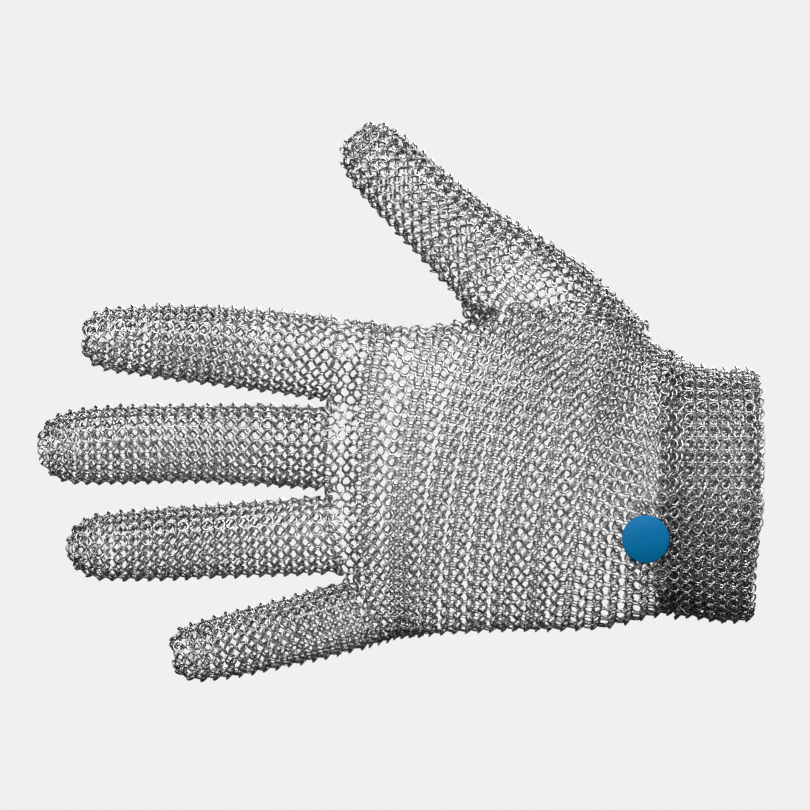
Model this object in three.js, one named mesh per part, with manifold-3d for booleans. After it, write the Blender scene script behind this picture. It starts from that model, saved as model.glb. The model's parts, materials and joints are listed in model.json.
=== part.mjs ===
// A ring-mail glove, held open in the form that it has when it is worn.
// The mail is a hollow skin: a palm and back that are one flattened tube, four finger sleeves and
// a thumb sleeve with closed round tips, and a doubled cuff at the wrist. A mail strap comes round
// the little-finger side of the cuff and is closed by a round snap.
// Millimetres. The origin is the centre of the mouth, which opens towards +X.
// The fingers point towards -X, the thumb rises towards +Z, and the palm faces -Y.
import * as THREE from "three";
import { mergeVertices } from "three/addons/utils/BufferGeometryUtils.js";
import Module from "manifold-3d";

const wasm = await Module();
wasm.setup();

// The mail
const MAIL_THICKNESS = 2;
const SEAM_GAP = 0.3;

// The palm, from the wrist seam to the roots of the fingers
const PALM_LENGTH = 107;
const KNUCKLE_THICKNESS = 32;
const WRIST_WIDTH = 82;
const WRIST_THICKNESS = 45;

// The cuff, which is folded back on itself
const CUFF_LENGTH = 30.6;
const CUFF_LAYERS = 2;
const CUFF_THICKNESS = CUFF_LAYERS * MAIL_THICKNESS;
const CUFF_STEP = 0.6;
const MOUTH_SLANT = 2.5;

// The fingers, measured from the web to the tip, and across at the web
const INDEX_LENGTH = 76.5;
const INDEX_WIDTH = 27.6;
const MIDDLE_LENGTH = 88;
const MIDDLE_WIDTH = 27.2;
const RING_LENGTH = 80.3;
const RING_WIDTH = 25.6;
const LITTLE_LENGTH = 57.3;
const LITTLE_WIDTH = 23.4;
const FINGER_FLATNESS = 0.9;
const FINGER_GAP = 0.7;
const FINGER_CURL = 9;
const WEB_THICKNESS = 15;
const WEB_LENGTH = 20;

// The thumb, measured from its web to the tip, and across at the web
const THUMB_LENGTH = 66;
const THUMB_WIDTH = 31;
const THUMB_FLATNESS = 0.88;
const THUMB_SPLAY = [38, 48];
const THUMB_CURL = [6, 12];
const THUMB_WEB = 0.475;
const THUMB_SEAM = 1.02;
const THUMB_RISE = 0.38;
const THUMB_FORWARD = -2;

// The strap. Its end reaches this far from the mouth, its upper edge lies below the mouth's
// centre, and its band keeps back from the wrist seam and from the mouth.
const STRAP_THICKNESS = MAIL_THICKNESS;
const STRAP_END_WIDTH = 31;
const STRAP_END_CORNER = 9;
const STRAP_REACH = 44.5;
const STRAP_EDGE_DROP = 3;
const STRAP_SEAM_SETBACK = 3;
const STRAP_MOUTH_SETBACK = 2.5;
const STRAP_BACK_RISE = 26;

// The snap. Its cap is centred by its setback from the strap's tip and its drop from the edge.
const SNAP_DIAMETER = 15;
const SNAP_HEIGHT = 2.6;
const SNAP_SETBACK = 6.6;
const SNAP_DROP = 14.2;
const SNAP_LIFT = 0.6;
const SNAP_RIM_SHARE = 0.45;
const SNAP_RIM_CHAMFER = 0.5;
const SNAP_DOME_FULLNESS = 0.55;
const POST_DIAMETER = 4;
const POST_FLANGE_DIAMETER = 12;
const POST_FLANGE_THICKNESS = 1.2;
const POST_FLANGE_GAP = 0.7;

const BODY_SIDES = 32;
const FINGER_SIDES = 20;
const THUMB_SIDES = 22;
const ROUND_SIDES = 24;
const CORNER_STEPS = 6;
const DOME_STEPS = 7;
const TIP_RADIUS = 0.8;
const OVERRUN = 2;
const FAR = 400;

// The palm's sections. along is a share of PALM_LENGTH from the wrist seam. top, bottom and thick
// say how far the edge or the thickness has gone from the wrist's size (0) to the knuckles' (1).
// pinch narrows the last sections to a round edge, where the webs and the fingers take over.
const PALM_SECTIONS = [
  { along: 0.0, top: 0.0, bottom: 0.0, thick: 0.0, pinch: 1.0 },
  { along: 0.08, top: 0.55, bottom: 0.2, thick: 0.3, pinch: 1.0 },
  { along: 0.2, top: 0.92, bottom: 0.45, thick: 0.55, pinch: 1.0 },
  { along: 0.345, top: 1.02, bottom: 0.47, thick: 0.72, pinch: 1.0 },
  { along: 0.49, top: 1.02, bottom: 0.48, thick: 0.85, pinch: 1.0 },
  { along: 0.635, top: 0.84, bottom: 0.55, thick: 0.95, pinch: 1.0 },
  { along: 0.75, top: 0.78, bottom: 0.66, thick: 1.0, pinch: 0.98 },
  { along: 0.85, top: 0.76, bottom: 0.78, thick: 1.0, pinch: 0.85 },
  { along: 0.91, top: 0.7, bottom: 0.72, thick: 1.0, pinch: 0.62 },
  { along: 0.935, top: 0.55, bottom: 0.55, thick: 1.0, pinch: 0.3 },
];

// The cuff's sections. along is a share of CUFF_LENGTH from the wrist seam to the hem; top and
// bottom are shares of half WRIST_WIDTH, and thick is a share of WRIST_THICKNESS.
const CUFF_SECTIONS = [
  { along: 0.0, top: 1.0, bottom: 0.97, thick: 1.0 },
  { along: 0.22, top: 0.91, bottom: 0.96, thick: 1.0 },
  { along: 0.5, top: 0.87, bottom: 1.0, thick: 1.03 },
  { along: 0.76, top: 0.88, bottom: 1.0, thick: 1.07 },
  { along: 1.0, top: 0.84, bottom: 0.95, thick: 1.1 },
  { along: 1.1, top: 0.84, bottom: 0.93, thick: 1.1 },
];

// How a finger narrows. along is a share of its length from the web to the tip, and width is a
// share of its width at the web. The last rows round the tip, and its last section is closed.
const FINGER_SECTIONS = [
  { along: -0.55, width: 0.97 },
  { along: -0.25, width: 0.99 },
  { along: 0.0, width: 1.0 },
  { along: 0.2, width: 0.97 },
  { along: 0.45, width: 0.93 },
  { along: 0.65, width: 0.92 },
  { along: 0.8, width: 0.88 },
  { along: 0.89, width: 0.83 },
  { along: 0.95, width: 0.7 },
  { along: 0.985, width: 0.46 },
  { along: 0.999, width: 0.16 },
];

// The thumb's sections, in the same way. Its foot is behind the web, inside the palm; turn is how
// far its axis has bent there, in degrees, and thick is a share of the thickness at the web.
const THUMB_SECTIONS = [
  { along: -0.82, width: 1.34, turn: 14, thick: 1.36 },
  { along: -0.57, width: 1.38, turn: 8, thick: 1.33 },
  { along: -0.26, width: 1.24, turn: 3, thick: 1.2 },
  { along: 0.0, width: 1.1, turn: 0, thick: 1.0 },
  { along: 0.24, width: 0.92, turn: 0, thick: 0.9 },
  { along: 0.45, width: 0.84, turn: 0, thick: 0.83 },
  { along: 0.65, width: 0.8, turn: 0, thick: 0.77 },
  { along: 0.82, width: 0.75, turn: 0, thick: 0.7 },
  { along: 0.92, width: 0.63, turn: 0, thick: 0.57 },
  { along: 0.975, width: 0.4, turn: 0, thick: 0.37 },
  { along: 0.999, width: 0.14, turn: 0, thick: 0.15 },
];

// Each finger's web lies a share of PALM_LENGTH from the wrist seam. tip is how full its tip is
// beside the common table, and splay is its slant at the web and at the tip, in degrees towards
// the thumb. They are stacked from the thumb side down.
const FINGERS = [
  { name: "index", length: INDEX_LENGTH, width: INDEX_WIDTH, web: 1, tip: 0.9, splay: [8, 1] },
  { name: "middle", length: MIDDLE_LENGTH, width: MIDDLE_WIDTH, web: 1.015, tip: 1.05, splay: [4, -4.5] },
  { name: "ring", length: RING_LENGTH, width: RING_WIDTH, web: 1, tip: 1, splay: [-3.5, -2.5] },
  { name: "little", length: LITTLE_LENGTH, width: LITTLE_WIDTH, web: 0.93, tip: 0.96, splay: [-16, -10] },
];
const KNUCKLE_SPAN =
  FINGERS.reduce((sum, finger) => sum + finger.width, 0) + FINGER_GAP * (FINGERS.length - 1);

const PALM_SQUARENESS = 2.5;
const FINGER_SQUARENESS = 2.15;
const lerp = THREE.MathUtils.lerp;
const radians = THREE.MathUtils.degToRad;
const seamX = -CUFF_LENGTH;
const palmX = (share) => seamX - share * PALM_LENGTH;

// Solids

function solidOf(geometry) {
  const bare = geometry.index ? geometry.toNonIndexed() : geometry.clone();
  bare.deleteAttribute("normal");
  bare.deleteAttribute("uv");
  const merged = mergeVertices(bare, 1e-4);
  return new wasm.Manifold(
    new wasm.Mesh({
      numProp: 3,
      vertProperties: new Float32Array(merged.attributes.position.array),
      triVerts: new Uint32Array(merged.index.array),
    }),
  );
}

function placed(geometry, matrix) {
  return solidOf(geometry.clone().applyMatrix4(matrix));
}

// A closed skin through rings of points that all have as many points, with a fan at either end.
function loft(rings) {
  const sides = rings[0].length;
  const positions = rings.flat().flatMap((point) => point.toArray());
  const triangles = [];
  for (let r = 0; r + 1 < rings.length; r++) {
    for (let k = 0; k < sides; k++) {
      const a = r * sides + k;
      const b = r * sides + ((k + 1) % sides);
      triangles.push(a, b, b + sides, a, b + sides, a + sides);
    }
  }
  const middle = (ring) =>
    ring.reduce((sum, point) => sum.add(point), new THREE.Vector3()).divideScalar(sides);
  const last = (rings.length - 1) * sides;
  const foot = rings.length * sides;
  positions.push(...middle(rings[0]).toArray(), ...middle(rings[rings.length - 1]).toArray());
  for (let k = 0; k < sides; k++) {
    const next = (k + 1) % sides;
    triangles.push(foot, next, k, foot + 1, last + k, last + next);
  }
  return new wasm.Manifold(
    new wasm.Mesh({
      numProp: 3,
      vertProperties: new Float32Array(positions),
      triVerts: new Uint32Array(triangles),
    }),
  );
}

function superellipse(angle, halfWidth, halfThickness, squareness) {
  const power = (value) => Math.sign(value) * Math.abs(value) ** (2 / squareness);
  return [halfWidth * power(Math.cos(angle)), halfThickness * power(Math.sin(angle))];
}

// One ring of a tube: its centre, the way across it, the way through it, and its half sizes.
function ring({ centre, across, through, halfWidth, halfThickness, squareness, sides }) {
  return Array.from({ length: sides }, (_, k) => {
    const angle = (2 * Math.PI * k) / sides;
    const [w, t] = superellipse(angle, halfWidth, halfThickness, squareness);
    return centre.clone().addScaledVector(across, w).addScaledVector(through, t);
  });
}

// The glove's body, from the mouth to the webs

const halfWrist = WRIST_WIDTH / 2;
const halfKnuckle = KNUCKLE_SPAN / 2;

function palmSections() {
  return PALM_SECTIONS.map((row) => ({
    x: palmX(row.along),
    top: lerp(halfWrist, halfKnuckle, row.top) * lerp(1, row.pinch, 0.15),
    bottom: lerp(halfWrist, halfKnuckle, row.bottom) * lerp(1, row.pinch, 0.15),
    thickness: lerp(WRIST_THICKNESS, KNUCKLE_THICKNESS, row.thick) * row.pinch,
  }));
}

function cuffSections() {
  return CUFF_SECTIONS.map((row) => ({
    x: seamX + row.along * CUFF_LENGTH,
    top: row.top * halfWrist,
    bottom: row.bottom * halfWrist,
    thickness: row.thick * WRIST_THICKNESS,
  }));
}

const palm = palmSections();
const cuff = cuffSections();

function bodyRing(section, outset, x = section.x) {
  return ring({
    centre: new THREE.Vector3(x, 0, (section.top - section.bottom) / 2),
    across: new THREE.Vector3(0, 0, 1),
    through: new THREE.Vector3(0, 1, 0),
    halfWidth: (section.top + section.bottom) / 2 + outset,
    halfThickness: section.thickness / 2 + outset,
    squareness: PALM_SQUARENESS,
    sides: BODY_SIDES,
  });
}

// The palm's tube, with its skin moved out by outset. past lengthens it beyond the wrist seam.
function palmTube(outset, past = 0) {
  const end = palm[palm.length - 1];
  const rings = palm.map((section) =>
    bodyRing(section, outset, section === end ? section.x - outset : section.x),
  );
  return loft(past ? [bodyRing(palm[0], outset, palm[0].x + past), ...rings] : rings);
}

function cuffTube(outset, past = 0) {
  const rings = [...cuff].reverse().map((section) => bodyRing(section, outset));
  if (past) {
    rings.unshift(bodyRing(cuff[cuff.length - 1], outset, cuff[cuff.length - 1].x + past));
    rings.push(bodyRing(cuff[0], outset, cuff[0].x - past));
  }
  return loft(rings);
}

// Fingers and thumb

function heading(splay, curl) {
  const a = radians(splay);
  const c = radians(curl);
  return new THREE.Vector3(-Math.cos(a) * Math.cos(c), -Math.sin(c), Math.sin(a) * Math.cos(c));
}

// A bent axis: from root it sets out along start and arrives at the tip along finish.
function bentAxis(root, length, start, finish) {
  const knee = root.clone().addScaledVector(start, length / 2);
  const tip = knee.clone().addScaledVector(finish, length / 2);
  return new THREE.QuadraticBezierCurve3(root, knee, tip);
}

function tubeRing(centre, forward, row, outset, sides) {
  const across = forward.clone().cross(new THREE.Vector3(0, 1, 0)).normalize();
  return ring({
    centre,
    across: across.z < 0 ? across.negate() : across,
    through: forward.clone().cross(across),
    halfWidth: Math.max(row.width / 2 + outset, TIP_RADIUS),
    halfThickness: Math.max(row.thickness / 2 + outset, TIP_RADIUS),
    squareness: FINGER_SQUARENESS,
    sides,
  });
}

// The fingers' webs are stacked down from the thumb side of the knuckles.
let stack = halfKnuckle;
for (const finger of FINGERS) {
  finger.rise = stack - finger.width / 2;
  finger.root = new THREE.Vector3(palmX(finger.web), 0, finger.rise);
  finger.start = heading(finger.splay[0], 0);
  finger.finish = heading(finger.splay[1], FINGER_CURL);
  finger.axis = bentAxis(finger.root, finger.length, finger.start, finger.finish);
  finger.sides = FINGER_SIDES;
  finger.rows = FINGER_SECTIONS.map((row) => {
    const fullness = lerp(1, finger.tip, THREE.MathUtils.smoothstep(row.along, 0.5, 0.85));
    const width = row.width * finger.width * fullness;
    return { along: row.along, width, thickness: width * FINGER_FLATNESS, back: finger.start };
  });
  stack -= finger.width + FINGER_GAP;
}

// The thumb leaves the palm where its side is widest, and its seam runs level along that side.
const thumbSeamZ = lerp(halfWrist, halfKnuckle, THUMB_SEAM);
const thumb = {
  length: THUMB_LENGTH,
  width: THUMB_WIDTH,
  sides: THUMB_SIDES,
  root: new THREE.Vector3(palmX(THUMB_WEB), THUMB_FORWARD, thumbSeamZ + THUMB_RISE * THUMB_WIDTH),
  start: heading(THUMB_SPLAY[0], THUMB_CURL[0]),
  finish: heading(THUMB_SPLAY[1], THUMB_CURL[1]),
};
thumb.axis = bentAxis(thumb.root, thumb.length, thumb.start, thumb.finish);
thumb.rows = THUMB_SECTIONS.map((row) => ({
  along: row.along,
  width: row.width * thumb.width,
  thickness: row.thick * thumb.width * THUMB_FLATNESS,
  back: heading(THUMB_SPLAY[0] + row.turn, 0),
}));

// A finger or the thumb, with its skin moved out by outset. Each section moves square to the skin,
// so near the tip it moves along the axis more than across it.
function sleeveTube(digit, outset) {
  const rings = digit.rows.map((row, i) => {
    const before = digit.rows[Math.max(i - 1, 0)];
    const after = digit.rows[i + 1] ?? { along: row.along, width: 0 };
    const slope = Math.atan2(
      (before.width - after.width) / 2,
      (after.along - before.along) * digit.length,
    );
    const inside = row.along < 0;
    const centre = inside
      ? digit.root.clone().addScaledVector(row.back, row.along * digit.length)
      : digit.axis.getPoint(row.along);
    const forward = inside ? row.back : digit.axis.getTangent(row.along);
    centre.addScaledVector(forward, outset * Math.sin(slope));
    return tubeRing(centre, forward, row, outset * Math.cos(slope), digit.sides);
  });
  return loft(rings);
}

// A web: a flattened ball between two neighbours, no further along than the nearer of their webs.
function webBall(upper, lower, outset) {
  const reach = Math.min(upper.web, lower.web);
  const z = (upper.rise - upper.width / 2 + lower.rise + lower.width / 2) / 2;
  const ball = new THREE.SphereGeometry(1, 12, 8);
  const matrix = new THREE.Matrix4()
    .makeTranslation(palmX(reach) + WEB_LENGTH / 2 + SEAM_GAP, 0, z)
    .multiply(
      new THREE.Matrix4().makeScale(
        WEB_LENGTH / 2 + outset,
        WEB_THICKNESS / 2 + outset,
        FINGER_GAP + WEB_THICKNESS / 2 + outset,
      ),
    );
  return placed(ball, matrix);
}

// Everything beyond a finger's web, as a large block turned to its axis.
function beyond(finger, clearance) {
  const block = new THREE.BoxGeometry(FAR, FAR, FAR);
  const turn = new THREE.Quaternion().setFromUnitVectors(
    new THREE.Vector3(-1, 0, 0),
    finger.start,
  );
  const centre = finger.root.clone().addScaledVector(finger.start, FAR / 2 + clearance);
  return placed(block, new THREE.Matrix4().compose(centre, turn, new THREE.Vector3(1, 1, 1)));
}

function above(z) {
  const block = new THREE.BoxGeometry(FAR, FAR, FAR);
  return placed(block, new THREE.Matrix4().makeTranslation(0, 0, z + FAR / 2));
}

function towardsMouth(x) {
  const block = new THREE.BoxGeometry(FAR, FAR, FAR);
  return placed(block, new THREE.Matrix4().makeTranslation(x + FAR / 2, 0, 0));
}

// Everything past the mouth, which slants a little, or past a line set back from it.
function pastMouth(setback) {
  const block = new THREE.BoxGeometry(FAR, FAR, FAR);
  const slant = new THREE.Matrix4().makeRotationY(radians(MOUTH_SLANT));
  const move = new THREE.Matrix4().makeTranslation(FAR / 2 - setback, 0, 0);
  return placed(block, slant.multiply(move));
}

const union = (solids) => solids.reduce((sum, solid) => sum.add(solid));
const webPairs = FINGERS.slice(1).map((finger, i) => [FINGERS[i], finger]);

function wholeSkin(outset, past) {
  return union([
    palmTube(outset, past),
    sleeveTube(thumb, outset),
    ...FINGERS.map((finger) => sleeveTube(finger, outset)),
    ...webPairs.map(([upper, lower]) => webBall(upper, lower, outset)),
  ]);
}

const hollow = wholeSkin(-MAIL_THICKNESS, OVERRUN);

function fingerSleeve(finger) {
  return sleeveTube(finger, 0)
    .subtract(sleeveTube(finger, -MAIL_THICKNESS))
    .intersect(beyond(finger, SEAM_GAP / 2));
}

function thumbSleeve() {
  return sleeveTube(thumb, 0).subtract(hollow).intersect(above(thumbSeamZ));
}

function palmAndBack() {
  const clear = FINGERS.map((finger) =>
    sleeveTube(finger, SEAM_GAP).intersect(beyond(finger, -SEAM_GAP / 2)),
  );
  const thumbClear = sleeveTube(thumb, SEAM_GAP).intersect(above(thumbSeamZ - SEAM_GAP));
  return wholeSkin(0, 0)
    .subtract(hollow)
    .subtract(union([...clear, thumbClear, towardsMouth(seamX)]))
    .subtract(above(thumbSeamZ - SEAM_GAP));
}

function cuffBand() {
  return cuffTube(CUFF_STEP)
    .subtract(cuffTube(CUFF_STEP - CUFF_THICKNESS, OVERRUN))
    .intersect(towardsMouth(seamX + SEAM_GAP))
    .subtract(pastMouth(0));
}

// The strap: a band round the cuff with a wider reach where the snap is

const strapInner = CUFF_STEP + SEAM_GAP;
const strapTop = -STRAP_EDGE_DROP;
const strapBottom = strapTop - STRAP_END_WIDTH;
const strapShoulder = seamX + STRAP_SEAM_SETBACK;
const tongueTip = -STRAP_REACH;
const snapCentre = new THREE.Vector3(tongueTip + SNAP_SETBACK, 0, strapTop - SNAP_DROP);

// The end that carries the snap, seen from the front: a bar with two rounded corners.
function tongueOutline() {
  const r = STRAP_END_CORNER;
  const corner = (z, from) =>
    Array.from({ length: CORNER_STEPS + 1 }, (_, k) => {
      const angle = from + (Math.PI / 2) * (k / CORNER_STEPS);
      return [tongueTip + r + r * Math.cos(angle), z + r * Math.sin(angle)];
    });
  return [
    [strapShoulder + OVERRUN, strapTop],
    ...corner(strapTop - r, Math.PI / 2),
    ...corner(strapBottom + r, Math.PI),
    [strapShoulder + OVERRUN, strapBottom],
  ];
}

function box(from, to) {
  const size = to.clone().sub(from);
  const middle = from.clone().add(to).divideScalar(2);
  const block = new THREE.BoxGeometry(size.x, size.y, size.z);
  return placed(block, new THREE.Matrix4().makeTranslation(middle.x, middle.y, middle.z));
}

// What the strap covers: its end, its way down the front of the cuff, and its way up the back.
function strapRegion() {
  const outline = tongueOutline();
  const at = (y) => outline.map(([x, z]) => new THREE.Vector3(x, y, z));
  const end = loft([at(0), at(-FAR)]);
  const front = box(
    new THREE.Vector3(strapShoulder, -FAR, -FAR),
    new THREE.Vector3(FAR, OVERRUN, strapTop),
  );
  const back = box(
    new THREE.Vector3(strapShoulder, 0, -FAR),
    new THREE.Vector3(FAR, FAR, STRAP_BACK_RISE - halfWrist),
  );
  return union([end, front, back]).subtract(pastMouth(STRAP_MOUTH_SETBACK));
}

function wristTube(outset) {
  const rings = [...cuff].reverse().map((section) => bodyRing(section, outset));
  return loft([...rings, ...palm.slice(1).map((section) => bodyRing(section, outset))]);
}

// How far forward the front of the wrist lies at a place, with its skin moved out by outset.
function frontAt(x, z, outset) {
  const rows = [...cuff].reverse().concat(palm.slice(1));
  const after = rows.findIndex((row) => row.x <= x);
  const [a, b] = [rows[after - 1], rows[after]];
  const share = (x - a.x) / (b.x - a.x);
  const top = lerp(a.top, b.top, share);
  const bottom = lerp(a.bottom, b.bottom, share);
  const halfThickness = lerp(a.thickness, b.thickness, share) / 2 + outset;
  const halfWidth = (top + bottom) / 2 + outset;
  const away = Math.abs(z - (top - bottom) / 2) / halfWidth;
  return -halfThickness * (1 - away ** PALM_SQUARENESS) ** (1 / PALM_SQUARENESS);
}

// The snap sits square to the strap, whose slope is taken between places on either side of it.
const STEP = 3;
const snapOutset = strapInner + STRAP_THICKNESS;
const seat = snapCentre.clone().setY(frontAt(snapCentre.x, snapCentre.z, snapOutset + SNAP_LIFT));
const alongX = new THREE.Vector3(
  2 * STEP,
  frontAt(seat.x + STEP, seat.z, snapOutset) - frontAt(seat.x - STEP, seat.z, snapOutset),
  0,
);
const alongZ = new THREE.Vector3(
  0,
  frontAt(seat.x, seat.z + STEP, snapOutset) - frontAt(seat.x, seat.z - STEP, snapOutset),
  2 * STEP,
);
const seatNormal = alongX.clone().cross(alongZ).normalize();
if (seatNormal.y > 0) seatNormal.negate();
const seatTurn = new THREE.Quaternion().setFromUnitVectors(new THREE.Vector3(0, 1, 0), seatNormal);
const seatMatrix = new THREE.Matrix4().compose(seat, seatTurn, new THREE.Vector3(1, 1, 1));

// The snap, along its own +Y from the strap's outer face
const skinDepth = SNAP_LIFT + snapOutset + MAIL_THICKNESS;
const postRadius = POST_DIAMETER / 2;
const flangeTop = -(skinDepth + POST_FLANGE_GAP);
const rimTop = SNAP_HEIGHT * SNAP_RIM_SHARE;
const postTop = rimTop;

function lathe(profile) {
  return new THREE.LatheGeometry(
    profile.map(([r, y]) => new THREE.Vector2(r, y)),
    ROUND_SIDES,
  );
}

function snapPost() {
  return solidOf(
    lathe([
      [0, flangeTop - POST_FLANGE_THICKNESS],
      [POST_FLANGE_DIAMETER / 2, flangeTop - POST_FLANGE_THICKNESS],
      [POST_FLANGE_DIAMETER / 2, flangeTop],
      [postRadius, flangeTop],
      [postRadius, postTop],
      [0, postTop],
    ]),
  );
}

// A shallow dome with a rounded rim, and a blind bore that the post's head sits in.
function snapCap() {
  const radius = SNAP_DIAMETER / 2;
  const bore = postRadius + SEAM_GAP;
  const dome = Array.from({ length: DOME_STEPS }, (_, k) => {
    const angle = (Math.PI / 2) * (k / DOME_STEPS);
    return [
      radius * Math.cos(angle) ** SNAP_DOME_FULLNESS,
      rimTop + (SNAP_HEIGHT - rimTop) * Math.sin(angle),
    ];
  });
  return solidOf(
    lathe([
      [0, postTop + SEAM_GAP],
      [bore, postTop + SEAM_GAP],
      [bore, 0],
      [radius - SNAP_RIM_CHAMFER, 0],
      [radius, SNAP_RIM_CHAMFER],
      ...dome,
      [0, SNAP_HEIGHT],
    ]),
  );
}

function postHole() {
  const drill = new THREE.CylinderGeometry(
    postRadius + SEAM_GAP,
    postRadius + SEAM_GAP,
    skinDepth * 4,
    ROUND_SIDES,
  );
  return placed(drill, seatMatrix);
}

function closureStrap() {
  return wristTube(snapOutset)
    .subtract(wristTube(strapInner))
    .intersect(strapRegion())
    .subtract(postHole());
}

// The assembly

const steel = { color: 0xb9bcc0, roughness: 0.3, metalness: 1 };

function meshOf(name, solid, look) {
  const made = solid.getMesh();
  const stride = made.numProp;
  const positions = new Float32Array(made.numVert * 3);
  for (let i = 0; i < made.numVert; i++) {
    positions.set(made.vertProperties.subarray(i * stride, i * stride + 3), i * 3);
  }
  const geometry = new THREE.BufferGeometry();
  geometry.setAttribute("position", new THREE.BufferAttribute(positions, 3));
  geometry.setIndex(new THREE.BufferAttribute(new Uint32Array(made.triVerts), 1));
  geometry.computeVertexNormals();
  const mesh = new THREE.Mesh(geometry, new THREE.MeshStandardMaterial(look));
  mesh.name = name;
  return mesh;
}

const glove = new THREE.Group();
glove.add(meshOf("palm_and_back", palmAndBack().subtract(postHole()), steel));
glove.add(meshOf("thumb_sleeve", thumbSleeve(), steel));
for (const finger of FINGERS) {
  glove.add(meshOf(`${finger.name}_sleeve`, fingerSleeve(finger), steel));
}
glove.add(meshOf("cuff_band", cuffBand(), steel));
glove.add(meshOf("closure_strap", closureStrap(), steel));

const snap = new THREE.Group();
snap.applyMatrix4(seatMatrix);
snap.add(meshOf("snap_cap", snapCap(), { color: 0x0a6fb4, roughness: 0.45, metalness: 0 }));
snap.add(meshOf("snap_post", snapPost(), steel));
glove.add(snap);

export default glove;
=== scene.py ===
"""Dresses the ring-mail glove: its rings, its strap, its snap, and the studio round it.

The rings replace the plain skins of the solids. Each sleeve of mail is a lattice of rows round the
sleeve and columns along it. A ring sits where the row's and the column's numbers add up to an even
number, it leans one way in even rows and the other way in odd rows, and so it is linked to the four
rings next to it, which is the European 4-in-1 weave. Lengths in this file are in millimetres until
a mesh is made.
"""

from __future__ import annotations

import json
import logging
import math
from collections.abc import Callable
from dataclasses import dataclass
from enum import Enum

import bmesh
import bpy
import numpy as np
from mathutils import Matrix, Vector
from mathutils.bvhtree import BVHTree
from mathutils.kdtree import KDTree

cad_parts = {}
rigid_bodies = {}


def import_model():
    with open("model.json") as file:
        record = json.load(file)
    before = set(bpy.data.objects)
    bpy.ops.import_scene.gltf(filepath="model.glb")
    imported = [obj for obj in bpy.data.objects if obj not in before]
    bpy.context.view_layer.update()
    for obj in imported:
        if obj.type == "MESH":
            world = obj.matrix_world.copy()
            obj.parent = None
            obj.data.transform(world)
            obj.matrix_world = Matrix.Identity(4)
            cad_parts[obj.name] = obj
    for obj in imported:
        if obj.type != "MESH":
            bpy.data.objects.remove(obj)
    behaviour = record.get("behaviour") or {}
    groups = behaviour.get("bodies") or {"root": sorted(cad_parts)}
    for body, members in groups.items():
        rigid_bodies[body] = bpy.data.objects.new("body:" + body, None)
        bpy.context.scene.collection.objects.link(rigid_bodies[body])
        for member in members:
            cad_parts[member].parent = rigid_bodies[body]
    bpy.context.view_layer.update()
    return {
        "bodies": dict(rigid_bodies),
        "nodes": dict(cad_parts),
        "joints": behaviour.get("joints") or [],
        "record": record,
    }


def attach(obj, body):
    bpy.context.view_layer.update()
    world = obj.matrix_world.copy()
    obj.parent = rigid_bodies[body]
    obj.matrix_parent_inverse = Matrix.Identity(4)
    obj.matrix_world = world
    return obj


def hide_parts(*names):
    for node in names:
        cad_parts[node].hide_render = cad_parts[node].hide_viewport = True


METRES = 0.001
BODY = "root"
DEPTH = 1.0
TOWARDS_TIPS = np.array([-1.0, 0.0, 0.0])
SEEDS = {
    "index": 20,
    "middle": 21,
    "ring": 22,
    "little": 23,
    "palm": 30,
    "thumb": 41,
    "inner": 51,
    "outer": 52,
    "strap": 61,
}
log = logging.getLogger("glove")


class Side(Enum):
    """The two sheets of the palm's tube that are kept as pieces of their own."""

    FRONT = "front"
    BACK = "back"


def unit(vectors: np.ndarray) -> np.ndarray:
    """The vectors, each at length one."""
    return vectors / np.maximum(np.linalg.norm(vectors, axis=-1, keepdims=True), 1e-9)


def ease(value: float, low: float, high: float) -> float:
    """A smooth step from 0 at low to 1 at high."""
    t = min(max((value - low) / (high - low), 0.0), 1.0)
    return t * t * (3.0 - 2.0 * t)


def placed(name: str, data: bpy.types.ID) -> bpy.types.Object:
    """Puts a mesh, a light or a camera into the scene, at the origin.

    Args:
        name: the object's name.
        data: what it shows.

    Returns:
        The object.
    """
    thing = bpy.data.objects.new(name, data)
    bpy.context.collection.objects.link(thing)
    return thing


def spun(work: bmesh.types.BMesh, profile: list, steps: int, weld: float) -> None:
    """Spins a profile once round Z, into a closed skin whose faces point outwards.

    Args:
        work: the mesh that holds the profile.
        profile: the profile's corners and edges.
        steps: the number of steps round.
        weld: how near to each other two corners become one.
    """
    bmesh.ops.spin(
        work,
        geom=profile,
        cent=(0, 0, 0),
        axis=(0, 0, 1),
        angle=2 * math.pi,
        steps=steps,
        use_merge=True,
    )
    bmesh.ops.remove_doubles(work, verts=work.verts, dist=weld)
    bmesh.ops.recalc_face_normals(work, faces=work.faces)


def finished_mesh(
    work: bmesh.types.BMesh, name: str, material: bpy.types.Material
) -> bpy.types.Mesh:
    """Makes a mesh of what was modelled, with its material.

    Args:
        work: what was modelled, which is freed.
        name: the mesh's name.
        material: its material.

    Returns:
        The mesh.
    """
    mesh = bpy.data.meshes.new(name)
    work.to_mesh(mesh)
    work.free()
    mesh.materials.append(material)
    return mesh


# The skins that the mail lies on


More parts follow.
